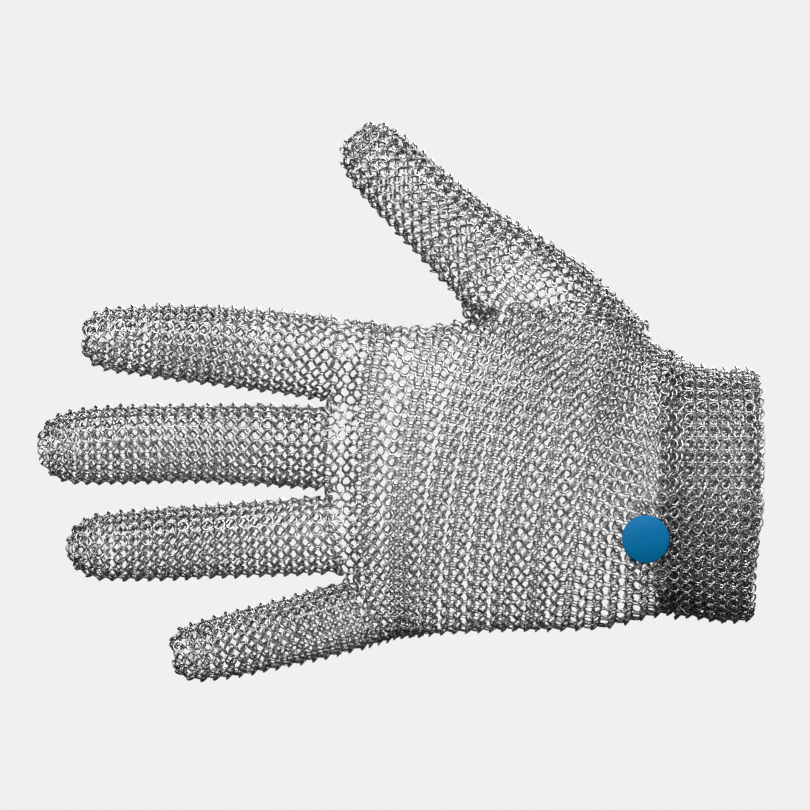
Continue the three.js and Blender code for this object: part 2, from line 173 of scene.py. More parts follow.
class Skin:
    """The outer faces of some solids, which show where the mail lies.

    Attributes:
        ABOVE: how far over a place the search for an outermost face starts.
        BELOW: how far under the place it ends.
    """

    ABOVE = 9.0
    BELOW = 2.0

    def __init__(self, solids: list[bpy.types.Object]) -> None:
        """Gathers the faces of the solids.

        Args:
            solids: the objects of the solids, which sit at the origin.
        """
        corners: list[Vector] = []
        faces: list[list[int]] = []
        for solid in solids:
            start = len(corners)
            corners += [vertex.co / METRES for vertex in solid.data.vertices]
            faces += [[start + i for i in face.vertices] for face in solid.data.polygons]
        self.tree = BVHTree.FromPolygons(corners, faces)

    def touch(self, outside: np.ndarray, inside: np.ndarray) -> np.ndarray:
        """Finds the outer face that lies between two places.

        Args:
            outside: where the search starts.
            inside: where it ends.

        Returns:
            The place on the face, or three times nan where there is none.
        """
        way = Vector(inside - outside)
        place, normal, _, _ = self.tree.ray_cast(Vector(outside), way.normalized(), way.length)
        if place is None or normal.dot(way) > 0:
            return np.full(3, np.nan)
        return np.array(place)

    def height_over(self, place: np.ndarray, outward: np.ndarray) -> float:
        """How far the outermost face lies above a place, seen along outward."""
        found = self.touch(place + outward * self.ABOVE, place - outward * self.BELOW)
        return float(np.dot(found - place, outward)) if np.isfinite(found[0]) else 0.0


# The lattice


@dataclass
class Row:
    """One row of the mail: a line round the sleeve, with its columns marked on it.

    Attributes:
        line: places along the row, in order.
        clear: for each place, whether the sleeve has a wall there.
        origin: how far along the line column 0 lies.
        step: the way from one column to the next.
        first: the lowest length along the line that takes rings.
        last: the highest length that does.
        turns: the length of a closed line, or 0 for an open one.
        along: how far along the line each place lies.
        unrest: how many times as much as usual its rings differ from each other.
        steep: how much further than usual its rings lean, in degrees.
    """

    line: np.ndarray
    clear: np.ndarray
    origin: float
    step: float
    first: float | None = None
    last: float | None = None
    turns: float = 0.0
    along: np.ndarray | None = None
    unrest: float = 1.0
    steep: float = 0.0

    def __post_init__(self) -> None:
        """Measures the lengths along the line, where they aren't given."""
        if self.along is None:
            hops = np.linalg.norm(np.diff(self.line, axis=0), axis=1)
            self.along = np.concatenate([[0.0], np.cumsum(hops)])
        if self.first is None:
            self.first = 0.0
        if self.last is None:
            self.last = float(self.along[-1])

    def start_at(self, index: int) -> Row:
        """Measures the lengths from one of the line's places, and returns the row.

        Args:
            index: the place's number.

        Returns:
            The row itself.
        """
        shift = self.along[index]
        self.along = self.along - shift
        self.first -= shift
        self.last -= shift
        return self

    def length_at(self, columns: np.ndarray) -> np.ndarray:
        """The lengths along the line of some columns.

        Args:
            columns: their numbers.

        Returns:
            The lengths, brought inside a closed line.
        """
        lengths = self.origin + columns * self.step
        if self.turns:
            lengths = (lengths - self.along[0]) % self.turns + self.along[0]
        return lengths

    def place(self, columns: np.ndarray) -> np.ndarray:
        """The places of some columns."""
        lengths = self.length_at(columns)
        return np.stack([np.interp(lengths, self.along, self.line[:, i]) for i in range(3)], 1)

    def is_clear(self, columns: np.ndarray) -> np.ndarray:
        """Whether the sleeve has a wall at some columns."""
        return np.interp(self.length_at(columns), self.along, self.clear.astype(float)) > 0.99

    def columns(self, odd: int) -> np.ndarray:
        """The columns that take a ring.

        Args:
            odd: 0 for the even columns or 1 for the odd ones.

        Returns:
            The numbers of the columns.
        """
        low = math.ceil((self.first - self.origin) / self.step - 1e-6)
        high = math.floor((self.last - self.origin) / self.step - 1e-6)
        numbers = np.arange(low, high + 1)
        return numbers[numbers % 2 == odd]


def smooth_line(line: np.ndarray, reach: float, closed: bool) -> np.ndarray:
    """Takes the facets out of a line of places.

    Args:
        line: the places.
        reach: how many neighbours on either side count, as a normal distribution's width.
        closed: whether the last place is next to the first.

    Returns:
        The smoothed places.
    """
    span = int(math.ceil(reach * 2.5))
    offsets = np.arange(-span, span + 1)
    weights = np.exp(-0.5 * (offsets / reach) ** 2)
    weights /= weights.sum()
    mode = "wrap" if closed else "reflect"
    padded = np.pad(line, ((span, span), (0, 0)), mode=mode)
    return sum(w * padded[span + o : span + o + len(line)] for o, w in zip(offsets, weights))


def sunk(line: np.ndarray, depth: float, forward: np.ndarray) -> np.ndarray:
    """Moves a line of places into the sleeve.

    Args:
        line: the places, in order round the sleeve.
        depth: how far they move.
        forward: the way that the rows follow each other.

    Returns:
        The moved places.
    """
    outward = unit(np.cross(np.gradient(line, axis=0), forward))
    return line - outward * depth


def mend_line(line: np.ndarray, run: int = 3, onward: int = 4) -> tuple[np.ndarray, np.ndarray]:
    """Bridges the places of a line that found no wall.

    Args:
        line: the places, some of them nan.
        run: how many places at an edge give the direction there.
        onward: how many places past an edge follow that direction.

    Returns:
        The line without gaps, and for each place whether it was there.
    """
    clear = np.isfinite(line[:, 0])
    if clear.sum() <= run:
        return np.nan_to_num(line), np.zeros(len(line), bool)
    numbers = np.arange(len(line))
    fixed = np.stack([np.interp(numbers, numbers[clear], line[clear, i]) for i in range(3)], 1)
    low, high = numbers[clear][0], numbers[clear][-1]
    for edge, inward in ((low, run), (high, -run)):
        if clear[edge + inward]:
            hop = (fixed[edge] - fixed[edge + inward]) / run
            beyond = numbers[:edge][::-1] if inward > 0 else numbers[edge + 1 :]
            for count, number in enumerate(beyond, 1):
                fixed[number] = fixed[edge] + hop * min(count, onward)
    return fixed, clear


def widened(clear: np.ndarray, count: int) -> np.ndarray:
    """The mask, grown by some places at either end of each run.

    Args:
        clear: the mask.
        count: the number of places.

    Returns:
        The grown mask.
    """
    grown = clear.copy()
    for shift in range(1, count + 1):
        grown[shift:] |= clear[:-shift]
        grown[:-shift] |= clear[shift:]
    return grown


@dataclass
class Rings:
    """Where the rings of a piece lie, and how they stand.

    Attributes:
        centres: their centres.
        normals: the ways that they face.
        across: the way along the row at each.
    """

    centres: np.ndarray
    normals: np.ndarray
    across: np.ndarray

    def kept(self, mask: np.ndarray) -> Rings:
        """The rings that the mask keeps."""
        return Rings(self.centres[mask], self.normals[mask], self.across[mask])

    def tree(self) -> KDTree:
        """The rings' centres, ready to be searched."""
        tree = KDTree(len(self.centres))
        for i, centre in enumerate(self.centres):
            tree.insert(Vector(centre), i)
        tree.balance()
        return tree

    def linked(self, reach: float = 3.5) -> Rings:
        """The rings that have at least two others near enough to be linked to.

        Args:
            reach: how far apart the centres of two such rings may lie.

        Returns:
            These rings.
        """
        tree = self.tree()
        near = [len(tree.find_range(Vector(centre), reach)) for centre in self.centres]
        return self.kept(np.array(near) > 2)

    @staticmethod
    def together(parts: list[Rings]) -> Rings:
        """The rings of several lists in one."""
        return Rings(
            np.concatenate([part.centres for part in parts]),
            np.concatenate([part.normals for part in parts]),
            np.concatenate([part.across for part in parts]),
        )


@dataclass
class Weave:
    """The European 4-in-1 weave.

    Attributes:
        lean: how far a ring leans out of the sheet, in degrees.
        bias: how much flatter the even rows lie, and how much steeper the odd ones.
        lean_spread: how much the lean differs from ring to ring, in degrees.
        turn_spread: how much a ring turns in the sheet, in degrees.
        place_spread: how far a ring strays from its place.
        seed: the seed of these small differences.
        stride: how many columns to either side give the direction of the row.
    """

    lean: float = 26.0
    bias: float = 12.0
    lean_spread: float = 2.5
    turn_spread: float = 3.0
    place_spread: float = 0.05
    seed: int = 5
    stride: float = 0.9

    def rings(self, rows: dict[int, Row]) -> Rings:
        """Places the rings of a lattice.

        Args:
            rows: the rows by their numbers. The first and the last only give directions.

        Returns:
            The rings.
        """
        rng = np.random.default_rng(self.seed)
        found: list[Rings] = []
        for number in sorted(rows)[1:-1]:
            row, below, above = rows[number], rows[number - 1], rows[number + 1]
            columns = row.columns(number % 2)
            columns = columns[row.is_clear(columns)]
            if not len(columns):
                continue
            places = row.place(columns)
            across = unit(row.place(columns + self.stride) - row.place(columns - self.stride))
            forward = unit(above.place(columns) - below.place(columns))
            outward = unit(np.cross(across, forward))
            forward = np.cross(outward, across)
            count = len(columns)
            sign = 1.0 if number % 2 == 0 else -1.0
            tilts = self.lean - sign * self.bias + row.steep
            tilts = tilts + rng.normal(0.0, self.lean_spread * row.unrest, count)
            lean = np.radians(tilts)[:, None]
            normals = np.cos(lean) * outward + sign * np.sin(lean) * forward
            swing = np.radians(rng.normal(0.0, self.turn_spread * row.unrest, count))[:, None]
            normals = unit(normals + np.sin(swing) * across)
            strays = rng.normal(0.0, self.place_spread * row.unrest, (count, 3))
            centres = places + strays
            found.append(Rings(centres, normals, across))
        return Rings.together(found)


# The wire rings and their mesh


@dataclass
class WireRing:
    """One ring of the mail.

    Attributes:
        diameter: across the ring, to the outside of the wire.
        wire: across the wire.
        sides: the straight runs round the ring.
        wire_sides: the faces round the wire.
    """

    diameter: float = 4.0
    wire: float = 0.58
    sides: int = 10
    wire_sides: int = 5

    def shape(self) -> tuple[np.ndarray, np.ndarray]:
        """Spins the wire's round section into a ring about Z.

        Returns:
            The corners, and the faces as rows of four corner numbers.
        """
        work = bmesh.new()
        middle = (self.diameter - self.wire) / 2
        upright = Matrix.Translation((middle, 0, 0)) @ Matrix.Rotation(math.pi / 2, 4, "X")
        bmesh.ops.create_circle(
            work, cap_ends=False, segments=self.wire_sides, radius=self.wire / 2, matrix=upright
        )
        spun(work, work.edges[:], self.sides, self.wire / 50)
        work.verts.index_update()
        corners = np.array([vertex.co[:] for vertex in work.verts])
        faces = np.array([[vertex.index for vertex in face.verts] for face in work.faces])
        work.free()
        return corners, faces


class MailMaker:
    """Makes a piece of mail from the places of its rings."""

    def __init__(self, ring: WireRing, material: bpy.types.Material) -> None:
        """Keeps the one ring that is repeated, and the finish of the wire.

        Args:
            ring: the ring.
            material: the wire's finish.
        """
        self.corners, self.faces = ring.shape()
        self.material = material
        self.triangles = 0

    def piece(self, name: str, rings: Rings, solids: tuple[str, ...], seed: int) -> None:
        """Joins a copy of the ring at every place into one piece.

        Args:
            name: the piece's name.
            rings: where the rings lie.
            solids: the solids that the piece stands for.
            seed: the seed of the rings' turns and tones.
        """
        rings = rings.linked()
        rng = np.random.default_rng(seed)
        count, corners = len(rings.centres), len(self.corners)
        side = unit(rings.across - rings.normals * (rings.across * rings.normals).sum(1)[:, None])
        up = np.cross(rings.normals, side)
        spin = rng.uniform(0.0, 2 * math.pi, count)[:, None]
        first = np.cos(spin) * side + np.sin(spin) * up
        second = np.cross(rings.normals, first)
        frames = np.stack([first, second, rings.normals], 2)
        points = np.einsum("nij,kj->nki", frames, self.corners) + rings.centres[:, None, :]
        faces = (self.faces[None] + np.arange(count)[:, None, None] * corners).reshape(-1, 4)
        mesh = bpy.data.meshes.new(name)
        mesh.vertices.add(count * corners)
        mesh.vertices.foreach_set("co", (points * METRES).astype(np.float32).ravel())
        mesh.loops.add(faces.size)
        mesh.loops.foreach_set("vertex_index", faces.astype(np.int32).ravel())
        mesh.polygons.add(len(faces))
        mesh.polygons.foreach_set("loop_start", np.arange(0, faces.size, 4, dtype=np.int32))
        tones = mesh.attributes.new("ring_tone", "FLOAT", "POINT")
        tone = np.repeat(rng.uniform(0.0, 1.0, count), corners)
        tones.data.foreach_set("value", tone.astype(np.float32))
        mesh.update(calc_edges=True)
        mesh.polygons.foreach_set("use_smooth", np.ones(len(faces), bool))
        mesh.materials.append(self.material)
        piece = placed(name, mesh)
        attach(piece, BODY)
        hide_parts(*solids)
        self.triangles += 2 * len(faces)
        log.info("%s: %d rings, %d triangles", name, count, 2 * len(faces))


# Finishes


def new_material(name: str) -> tuple[bpy.types.Material, bpy.types.Node]:
    """Starts a material.

    Args:
        name: its name.

    Returns:
        The material and its surface shader.
    """
    material = bpy.data.materials.new(name)
    material.use_nodes = True
    return material, material.node_tree.nodes["Principled BSDF"]


def feed(tree: bpy.types.NodeTree, node: bpy.types.Node, **inputs: object) -> None:
    """Sets or links some inputs of a node.

    Args:
        tree: the node's tree.
        node: the node.
        inputs: a value or an output socket for each input, by its name with _ for a blank.
    """
    for label, value in inputs.items():
        socket = node.inputs[label.replace("_", " ")]
        if isinstance(value, bpy.types.NodeSocket):
            tree.links.new(value, socket)
        else:
            socket.default_value = value


def add_node(tree: bpy.types.NodeTree, kind: str, **inputs: object) -> bpy.types.Node:
    """Adds a node, with its inputs set or linked.

    Args:
        tree: the tree that it joins.
        kind: its type, without the leading ShaderNode.
        inputs: as for feed.

    Returns:
        The node.
    """
    node = tree.nodes.new(f"ShaderNode{kind}")
    feed(tree, node, **inputs)
    return node


class GrainGroup:
    """A node group that gives fine specks and larger clouds on Object coordinates."""

    NAME = "metal_grain"

    @classmethod
    def get(cls) -> bpy.types.NodeTree:
        """Builds the group once and returns it."""
        if cls.NAME in bpy.data.node_groups:
            return bpy.data.node_groups[cls.NAME]
        tree = bpy.data.node_groups.new(cls.NAME, "ShaderNodeTree")
        for label in ("Speck Scale", "Cloud Scale", "Speck Share"):
            tree.interface.new_socket(label, in_out="INPUT", socket_type="NodeSocketFloat")
        for label in ("Mask", "Height"):
            tree.interface.new_socket(label, in_out="OUTPUT", socket_type="NodeSocketFloat")
        given = tree.nodes.new("NodeGroupInput").outputs
        place = add_node(tree, "TexCoord").outputs["Object"]
        speck = add_node(tree, "TexNoise", Vector=place, Scale=given["Speck Scale"], Detail=3.0)
        cloud = add_node(tree, "TexNoise", Vector=place, Scale=given["Cloud Scale"], Detail=2.0)
        specks, clouds = speck.outputs["Fac"], cloud.outputs["Fac"]
        blend = add_node(tree, "Mix", Factor=given["Speck Share"], A=clouds, B=specks)
        outlet = tree.nodes.new("NodeGroupOutput")
        feed(tree, outlet, Mask=blend.outputs["Result"], Height=specks)
        return tree


@dataclass(frozen=True)
class GrainedFinish:
    """A finish whose colour, gloss and relief follow a fine grain.

    Attributes:
        name: the material's name.
        low: the colour where the mask is 0.
        high: the colour where it is 1.
        rough: the roughness where it is 0, and where it is 1.
        specks: the scale of the grain's specks.
        clouds: the scale of its clouds.
        speck_share: how much of its mask is specks.
        relief: the strength of the relief.
        relief_depth: its depth, in metres.
        metallic: 1 for metal and 0 for plastic.
        specular: the strength of the plain reflection, 0.5 as a rule.
    """

    name: str
    low: tuple[float, float, float]
    high: tuple[float, float, float]
    rough: tuple[float, float]
    specks: float
    clouds: float
    speck_share: float
    relief: float
    relief_depth: float
    metallic: float
    specular: float

    def mask(self, tree: bpy.types.NodeTree, grain: bpy.types.Node) -> bpy.types.NodeSocket:
        """The output that tells the low colour from the high one: here the grain alone."""
        return grain.outputs["Mask"]

    def material(self) -> bpy.types.Material:
        """Builds the material."""
        material, shader = new_material(self.name)
        tree = material.node_tree
        grain = tree.nodes.new("ShaderNodeGroup")
        grain.node_tree = GrainGroup.get()
        scales = {"Speck_Scale": self.specks, "Cloud_Scale": self.clouds}
        feed(tree, grain, Speck_Share=self.speck_share, **scales)
        mask = self.mask(tree, grain)
        colour = tree.nodes.new("ShaderNodeMix")
        colour.data_type = "RGBA"
        feed(tree, colour, Factor=mask, A=(*self.low, 1.0), B=(*self.high, 1.0))
        rough = add_node(tree, "MapRange", Value=mask, To_Min=self.rough[0], To_Max=self.rough[1])
        bump = add_node(tree, "Bump", Strength=self.relief, Distance=self.relief_depth)
        feed(tree, bump, Height=grain.outputs["Height"])
        feed(
            tree,
            shader,
            Base_Color=colour.outputs["Result"],
            Roughness=rough.outputs["Result"],
            Normal=bump.outputs["Normal"],
            Metallic=self.metallic,
            Specular_IOR_Level=self.specular,
        )
        return material


@dataclass(frozen=True)
class SteelFinish(GrainedFinish):
    """Drawn stainless wire: bright, with a slight spread of tone from ring to ring.

    Attributes:
        tone_share: how much of the mask is the ring's own tone. The rest is grain.
        contrast: the values of the grain that count as 0 and as 1.
    """

    low: tuple[float, float, float] = (0.15, 0.147, 0.145)
    high: tuple[float, float, float] = (0.36, 0.36, 0.37)
    rough: tuple[float, float] = (0.38, 0.26)
    specks: float = 2600.0
    clouds: float = 55.0
    speck_share: float = 0.4
    relief: float = 0.04
    relief_depth: float = 0.00003
    metallic: float = 1.0
    specular: float = 0.5
    tone_share: float = 0.45
    contrast: tuple[float, float] = (0.3, 0.7)

    def mask(self, tree: bpy.types.NodeTree, grain: bpy.types.Node) -> bpy.types.NodeSocket:
        """Adds each ring's own tone to the grain.

        Args:
            tree: the material's nodes.
            grain: the node of the grain.

        Returns:
            The output that tells the low colour from the high one.
        """
        spread = add_node(tree, "MapRange", Value=grain.outputs["Mask"])
        low, high = self.contrast
        feed(tree, spread, From_Min=low, From_Max=high, To_Max=1.0 - self.tone_share)
        tone = add_node(tree, "Attribute")
        tone.attribute_name = "ring_tone"
        total = add_node(tree, "Math")
        total.operation = "MULTIPLY_ADD"
        total.inputs[1].default_value = self.tone_share
        tree.links.new(tone.outputs["Fac"], total.inputs[0])
        tree.links.new(spread.outputs["Result"], total.inputs[2])
        return total.outputs["Value"]


@dataclass(frozen=True)
class PlasticFinish(GrainedFinish):
    """Moulded satin plastic with a faint orange peel."""

    low: tuple[float, float, float] = (0.0, 0.05, 0.135)
    high: tuple[float, float, float] = (0.0, 0.08, 0.18)
    rough: tuple[float, float] = (0.44, 0.56)
    specks: float = 1500.0
    clouds: float = 160.0
    speck_share: float = 0.3
    relief: float = 0.12
    relief_depth: float = 0.00005
    metallic: float = 0.0
    specular: float = 0.06


@dataclass(frozen=True)
class StudioFinish:
    """Plain pale paper for the floor and the air, which looks evenly lit from anywhere.

    Attributes:
        name: the material's name.
        glow: how bright the paper looks straight on.
        bounce: how bright it looks in the metal.
        base: how much of the lights' own light it gives back.
        rough: its roughness.
    """

    name: str
    glow: float = 0.87
    bounce: float = 0.006
    base: float = 0.03
    rough: float = 0.9

    def seen_or_mirrored(self, tree: bpy.types.NodeTree, strength: bpy.types.NodeSocket) -> None:
        """Sets a strength to the glow where it is seen, and to the bounce in the metal.

        Args:
            tree: the nodes of the material or of the air.
            strength: the input that is set.
        """
        seen = add_node(tree, "LightPath").outputs["Is Camera Ray"]
        choice = add_node(tree, "MapRange", Value=seen, To_Min=self.bounce, To_Max=self.glow)
        tree.links.new(choice.outputs["Result"], strength)

    def material(self) -> bpy.types.Material:
        """Builds the material."""
        material, shader = new_material(self.name)
        base, white = (*[self.base] * 3, 1.0), (1.0, 1.0, 1.0, 1.0)
        feed(material.node_tree, shader, Base_Color=base, Roughness=self.rough)
        feed(material.node_tree, shader, Specular_IOR_Level=0.0, Emission_Color=white)
        self.seen_or_mirrored(material.node_tree, shader.inputs["Emission Strength"])
        return material


# The palm's tube


@dataclass
class BodyTube:
    """The tube of the palm or the cuff, whose rows run round it at steps along X.

    Attributes:
        skin: the faces that the rows lie on.
        edge: how far inside the tube's lower and upper edge the rows turn round.
        bends: the places felt round a quarter of its edge.
        flats: the places felt along its front, and along its back.
        reach: how far outside the tube the search starts.
        ceiling: the height where the thumb's seam cuts the tube.
        first: the x of the first row that is felt; rows before it take its form.
        last: the x past which the tube's edges are taken as they are there.
        deepest: the height under the tube where the search for its lower edge starts.
        usual_low: the lower edge's height where the search finds none.
    """

    skin: Skin
    edge: float = 14.0
    bends: int = 20
    flats: int = 72
    reach: float = 70.0
    ceiling: float = 53.0
    first: float = 0.0
    last: float = -125.0
    deepest: float = -120.0
    usual_low: float = -48.0

    def edges(self, x: float) -> tuple[float, float]:
        """Finds the heights of the tube's lower and upper edge.

        Args:
            x: where along the glove.

        Returns:
            The lower and the upper height.
        """
        low = self.skin.touch(np.array([x, 0.0, self.deepest]), np.array([x, 0.0, 0.0]))[2]
        over = np.array([x, 0.0, self.ceiling + 1.0])
        high = self.skin.touch(over, np.array([x, 0.0, 0.0]))[2]
        return (
            low if math.isfinite(low) else self.usual_low,
            high if math.isfinite(high) else self.ceiling,
        )

    def feel(self, station: Callable[[float], float], low: float, high: float) -> np.ndarray:
        """Feels the skin along one row.

        The line starts at the upper edge, goes down the back, round the lower edge and up the
        front.

        Args:
            station: the row's x at a height.
            low: the height of the tube's lower edge.
            high: the height of its upper edge.

        Returns:
            The places on the skin, with nan where there is none.
        """
        bottom, top = low + self.edge, high - self.edge
        bends, flats = self.bends, self.flats
        aims: list[tuple[float, float]] = []
        aims += [(top, angle) for angle in np.linspace(90.0, 0.0, bends, endpoint=False)]
        aims += [(z, 0.0) for z in np.linspace(top, bottom, flats, endpoint=False)]
        aims += [(bottom, angle) for angle in np.linspace(0.0, -180.0, 2 * bends, endpoint=False)]
        aims += [(z, -180.0) for z in np.linspace(bottom, top, flats, endpoint=False)]
        aims += [(top, angle) for angle in np.linspace(-180.0, -270.0, bends)]
        found = []
        for z, angle in aims:
            a = math.radians(angle)
            way = np.array([0.0, math.cos(a), math.sin(a)])
            x = station(float(np.clip(z + way[2] * self.edge, low, high)))
            target = np.array([x, 0.0, z])
            found.append(self.skin.touch(target + way * self.reach, target))
        return np.array(found)

    def grid(self, stations: list[Callable[[float], float]]) -> tuple[np.ndarray, np.ndarray]:
        """Feels several rows and takes the facets out of them together.

        Args:
            stations: each row's x at a height.

        Returns:
            The rows' places on the skin, and whether the tube has a wall there.
        """
        lines, clears = [], []
        for station in stations:
            edges = self.edges(min(max(station(0.0), self.last), self.first))
            felt = self.feel(lambda z, s=station: min(s(z), self.first), *edges)
            line, clear = mend_line(felt)
            line[:, 0] = [station(float(np.clip(z, *edges))) for z in line[:, 2]]
            lines.append(line)
            clears.append(widened(clear, 1))
        return smooth_grid(np.array(lines)), np.array(clears)


def smooth_grid(lines: np.ndarray, reach: float = 2.2) -> np.ndarray:
    """Smooths rows of places along the rows and a little from row to row.

    Args:
        lines: the rows.
        reach: how far they are smoothed, as in smooth_line.

    Returns:
        The smoothed rows.
    """
    lines = np.stack([smooth_line(line, reach, closed=False) for line in lines])
    middle = 0.5 * lines[1:-1] + 0.25 * (lines[:-2] + lines[2:])
    return np.concatenate([lines[:1], middle, lines[-1:]])


def lay_row(
    line: np.ndarray,
    clear: np.ndarray,
    rise: float,
    step: float,
    depth: float = DEPTH,
    along: np.ndarray | None = None,
) -> Row:
    """Sinks a line round the palm's tube and counts its columns from the front.

    Args:
        line: the places on the skin.
        clear: for each place, whether the sleeve has a wall there.
        rise: how far above z = 0 column 0 lies, up the front.
        step: the way from one column to the next.
        depth: how far under the skin the rings' centres lie.
        along: how far along the line each place counts as, if it isn't measured.

    Returns:
        The row.
    """
    line = sunk(line, depth, TOWARDS_TIPS)
    row = Row(line, clear, 0.0, step, along=along)
    half = len(line) // 2
    row.origin = rise + float(np.interp(0.0, line[half:, 2], row.along[half:]))
    return row


@dataclass
class PalmWeave:
    """The lattice of the palm and the back.

    Attributes:
        seam: the x of the wrist seam.
        length: from there to the webs of the fingers.
        pitch: the way from row to row.
        rows: the number of rows to the webs and past them.
        tucked: the rows before the wrist seam, inside the cuff.
        whole: how far past the wrist seam the palm's solid is whole.
        tight: half a column at the middle of the palm.
        loose: half a column at the wrist and at the knuckles.
        slope: how fast the columns climb towards the fingers.
        level: how much of that climb is lost at the knuckles.
        climb: how fast the rows lean over at the middle of the palm.
        bow: how much the rows bow towards the fingertips.
        last_measured: the last row whose columns are measured; they run straight on from there.
        lean_in: the shares of the length between which the rows begin to lean.
        lean_out: the shares between which they stop.
        bow_in: the shares between which they begin to bow.
        level_in: the shares between which the columns level out.
        tighten: the shares between which the columns draw together.
        loosen: the shares between which they spread again.
    """

    seam: float = -30.6
    length: float = 107.0
    pitch: float = 1.95
    rows: int = 55
    tucked: int = 1
    whole: float = 2.4
    tight: float = 2.06
    loose: float = 2.14
    slope: float = 0.225
    level: float = 0.9
    climb: float = 0.18
    bow: float = 0.0018
    last_measured: int = 48
    lean_in: tuple[float, float] = (0.0, 0.3)
    lean_out: tuple[float, float] = (0.62, 0.95)
    bow_in: tuple[float, float] = (0.0, 0.55)
    level_in: tuple[float, float] = (0.65, 0.98)
    tighten: tuple[float, float] = (0.0, 0.25)
    loosen: tuple[float, float] = (0.7, 1.0)

    def station(self, number: float, z: float) -> float:
        """Finds where a row lies.

        Args:
            number: the row's number.
            z: the height.

        Returns:
            The row's x at that height.
        """
        share = (number + 0.5) * self.pitch / self.length
        lean = self.climb * ease(share, *self.lean_in) * (1.0 - ease(share, *self.lean_out))
        bow = self.bow * ease(share, *self.bow_in)
        return self.seam - (number + 0.5) * self.pitch + lean * z + bow * z * z

    def rise(self, number: float) -> float:
        """Adds up how far up the front column 0 has climbed.

        Args:
            number: the row's number.

        Returns:
            The climb from the wrist seam to that row.
        """
        total = 0.0
        for k in range(int(number)):
            share = k * self.pitch / self.length
            total += self.slope * self.pitch * (1.0 - self.level * ease(share, *self.level_in))
        return total

    def step(self, number: float) -> float:
        """Finds how wide half a column is.

        Args:
            number: the row's number.

        Returns:
            Half a column at that row.
        """
        share = number * self.pitch / self.length
        spread = max(1.0 - ease(share, *self.tighten), ease(share, *self.loosen))
        return self.tight + (self.loose - self.tight) * spread

    def lattice(self, tube: BodyTube) -> dict[int, Row]:
        """Feels every row of the palm and the back.

        Args:
            tube: the palm's tube.

        Returns:
            The rows by their numbers.
        """
        numbers = list(range(-self.tucked - 1, self.rows + 1))
        lines, clears = tube.grid([lambda z, n=number: self.station(n, z) for number in numbers])
        rows: dict[int, Row] = {}
        for number, line, clear in zip(numbers, lines, clears):
            held = rows[self.last_measured].along if number > self.last_measured else None
            rise, step = self.rise(number), self.step(number)
            rows[number] = lay_row(line, clear, rise, step, along=held)
        return rows


@dataclass
class Digit:
    """A finger's or the thumb's sleeve.

    Attributes:
        name: the finger's name.
        root: where its axis leaves the palm.
        length: from the web to the tip.
        width: across it at the web.
        splay: its slant at the web and at the tip, in degrees towards the thumb.
        curl: how far it has curled forward at the web and at the tip, in degrees.
        columns: the half columns round it, an even number, or 0 where they vary.
        start: how far before its root its own lattice starts.
        foot: where its axis starts inside the palm, if it bends there.
        foot_splay: its slant there.
        pitch: the way from row to row.
        step: half a column where the columns vary.
        least: the narrowest half column.
        seam: where its lattice closes, in degrees from the front towards the thumb.
        search: how many widths off its axis the search for its skin starts.
    """

    name: str
    root: tuple[float, float, float]
    length: float
    width: float
    splay: tuple[float, float]
    curl: tuple[float, float] = (0.0, 9.0)
    columns: int = 38
    start: float = 2.5
    foot: tuple[float, float, float] | None = None
    foot_splay: float = 0.0
    pitch: float = 1.93
    step: float = 2.1
    least: float = 1.72
    seam: float = 180.0
    search: float = 1.6

    @staticmethod
    def heading(splay: float, curl: float) -> np.ndarray:
        """The direction of an axis from its two angles, in degrees."""
        a, c = math.radians(splay), math.radians(curl)
        return np.array([-math.cos(a) * math.cos(c), -math.sin(c), math.sin(a) * math.cos(c)])

    @staticmethod
    def bend(
        begin: np.ndarray, knee: np.ndarray, end: np.ndarray, t: float
    ) -> tuple[np.ndarray, np.ndarray]:
        """The place and the direction at a share of a curve from begin to end."""
        place = (1 - t) ** 2 * begin + 2 * t * (1 - t) * knee + t * t * end
        return place, unit((1 - t) * (knee - begin) + t * (end - knee))

    def axis(self, distance: float) -> tuple[np.ndarray, np.ndarray]:
        """The axis's place and direction at a distance from the root.

        Args:
            distance: how far from the root, less than 0 inside the palm.

        Returns:
            The place and the direction.
        """
        root = np.array(self.root)
        begin = self.heading(self.splay[0], self.curl[0])
        finish = self.heading(self.splay[1], self.curl[1])
        if distance > 0:
            knee = root + begin * self.length / 2
            return self.bend(root, knee, knee + finish * self.length / 2, distance / self.length)
        if self.foot is None:
            return root + begin * distance, begin
        foot = np.array(self.foot)
        first = self.heading(self.foot_splay, 0.0)
        ways = np.stack([first[[0, 2]], begin[[0, 2]]], 1)
        spans = np.linalg.solve(ways, (root - foot)[[0, 2]])
        knee = root - begin * spans[1]
        return self.bend(foot, knee, root, 1.0 + distance / float(spans.sum()))

    def outline(self, skin: Skin, distance: float, spots: int = 72) -> np.ndarray:
        """Feels the sleeve round its axis, from the closing seam once round.

        Args:
            skin: the sleeve's faces.
            distance: how far from the root.
            spots: the places felt round it.

        Returns:
            The places, with nan where there is no wall.
        """
        centre, forward = self.axis(distance)
        across = unit(np.cross(forward, np.array([0.0, 1.0, 0.0])))
        if across[2] < 0:
            across = -across
        through = np.cross(forward, across)
        found = []
        for angle in np.linspace(self.seam - 360.0, self.seam, spots + 1):
            a = math.radians(angle)
            way = -math.cos(a) * through + math.sin(a) * across
            found.append(skin.touch(centre + way * self.width * self.search, centre))
        return np.array(found)


